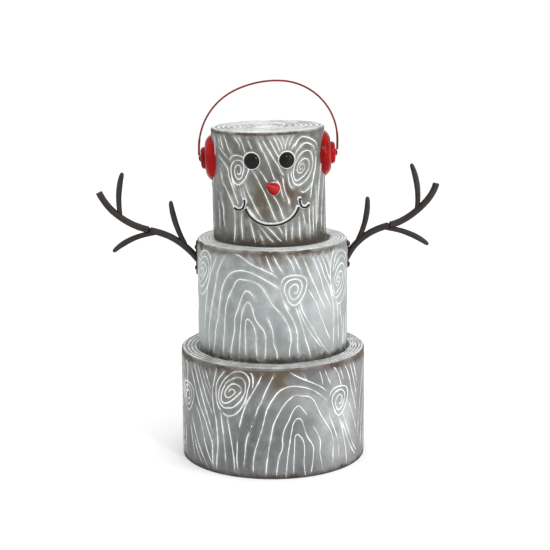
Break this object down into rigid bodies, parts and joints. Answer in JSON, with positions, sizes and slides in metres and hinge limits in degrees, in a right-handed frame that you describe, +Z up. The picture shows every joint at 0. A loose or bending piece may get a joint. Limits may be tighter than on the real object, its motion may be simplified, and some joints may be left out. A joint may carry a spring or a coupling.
{
  "type": "stacked drum snowman figure",
  "caption": "Standing snowman decoration of stacked embossed sheet-metal drums, with twig arms, wire smile, ear muffs and a swinging headband hoop.",
  "frame": {"origin": "centre of the underside of the lower drum, on the surface it stands on", "axes": "+Z up through the lower and middle drums, -Y out of the face, so the side arms run along X"},
  "size_m": [0.4247, 0.2308, 0.4703],
  "materials": {
    "lower_sheet": "galvanised, grey wash with white rubbed into the pressed grain, rust-brown edges",
    "middle_sheet": "galvanised, pale wash with white rubbed into the pressed grain, rust-brown edges",
    "head_sheet": "galvanised, grey wash with olive stains and white rubbed into the pressed grain",
    "arm_bronze_black": "satin brown-black paint over hammered rod",
    "eye_black": "gloss black enamel",
    "face_wire_black": "satin black paint",
    "nose_red": "gloss red enamel",
    "muff_red": "gloss red enamel",
    "hoop_red": "satin dark red paint",
    "zinc_fasteners": "bright zinc"
  },
  "bodies": {
    "snowman": {"lower_band": "lower_sheet", "lower_base": "lower_sheet", "lower_lid": "lower_sheet", "middle_band": "middle_sheet", "middle_base": "middle_sheet", "middle_lid": "middle_sheet", "head_band": "head_sheet", "head_lid": "head_sheet", "head_base": "head_sheet", "lower_joint_bolts": "zinc_fasteners", "lower_joint_nuts": "zinc_fasteners", "upper_joint_bolts": "zinc_fasteners", "upper_joint_nuts": "zinc_fasteners", "left_arm_limb": "arm_bronze_black", "left_outer_twig": "arm_bronze_black", "left_inner_twig": "arm_bronze_black", "left_lower_twig": "arm_bronze_black", "left_arm_plate": "arm_bronze_black", "left_arm_screws": "arm_bronze_black", "left_arm_nuts": "zinc_fasteners", "right_arm_limb": "arm_bronze_black", "right_outer_twig": "arm_bronze_black", "right_inner_twig": "arm_bronze_black", "right_lower_twig": "arm_bronze_black", "right_arm_plate": "arm_bronze_black", "right_arm_screws": "arm_bronze_black", "right_arm_nuts": "zinc_fasteners", "left_eye": "eye_black", "right_eye": "eye_black", "eye_nuts": "zinc_fasteners", "nose": "nose_red", "nose_nut": "zinc_fasteners", "smile_wire": "face_wire_black", "left_cheek_wire": "face_wire_black", "right_cheek_wire": "face_wire_black", "left_muff": "muff_red", "left_cap": "muff_red", "left_pivot_screw": "hoop_red", "left_pivot_nut": "zinc_fasteners", "right_muff": "muff_red", "right_cap": "muff_red", "right_pivot_screw": "hoop_red", "right_pivot_nut": "zinc_fasteners"},
    "headband": {"headband_hoop": "hoop_red"}
  },
  "joints": [
    {"name": "headband_swing", "type": "hinge", "parent": "snowman", "child": "headband", "pos_m": [-0.0046, 0, 0.37799], "axis": [0.9993, 0, 0.0384], "range_deg": [-126, 126]}
  ]
}
